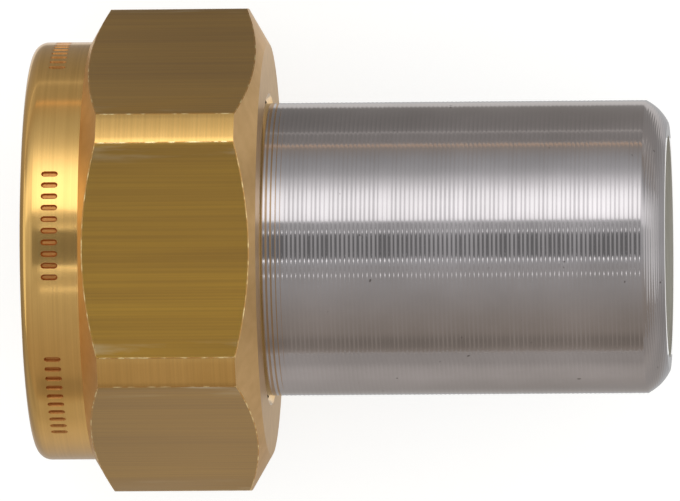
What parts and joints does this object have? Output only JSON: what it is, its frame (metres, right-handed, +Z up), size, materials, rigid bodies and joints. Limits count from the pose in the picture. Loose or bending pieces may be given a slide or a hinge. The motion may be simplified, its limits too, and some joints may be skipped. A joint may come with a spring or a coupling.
{
  "type": "weld nipple connector",
  "caption": "Straight pipe connector: a loose hexagon brass union nut on a turned steel weld nipple with a bevelled end and a flat gasket.",
  "frame": {"origin": "centre of the nipple's sealing face, on the common axis", "axes": "+X along the axis towards the weld end, +Z up, square to two flats of the hexagon, +Y through two of its corners"},
  "size_m": [0.046, 0.035, 0.0314],
  "materials": {
    "brass_nut": "turned, with drawn flats",
    "steel_nipple": "turned with fine grooves",
    "rubber_gasket": "matte"
  },
  "bodies": {
    "nipple": {"weld_nipple": "steel_nipple"},
    "gasket": {"flat_gasket": "rubber_gasket"},
    "nut": {"union_nut": "brass_nut"}
  },
  "joints": [
    {"name": "nut_swivel", "type": "hinge", "parent": "nipple", "child": "gasket", "pos_m": [0, 0, 0], "axis": [1, 0, 0], "continuous": true},
    {"name": "nut_slide", "type": "slide", "parent": "gasket", "child": "nut", "axis": [1, 0, 0], "range_m": [0, 0.0275]}
  ]
}
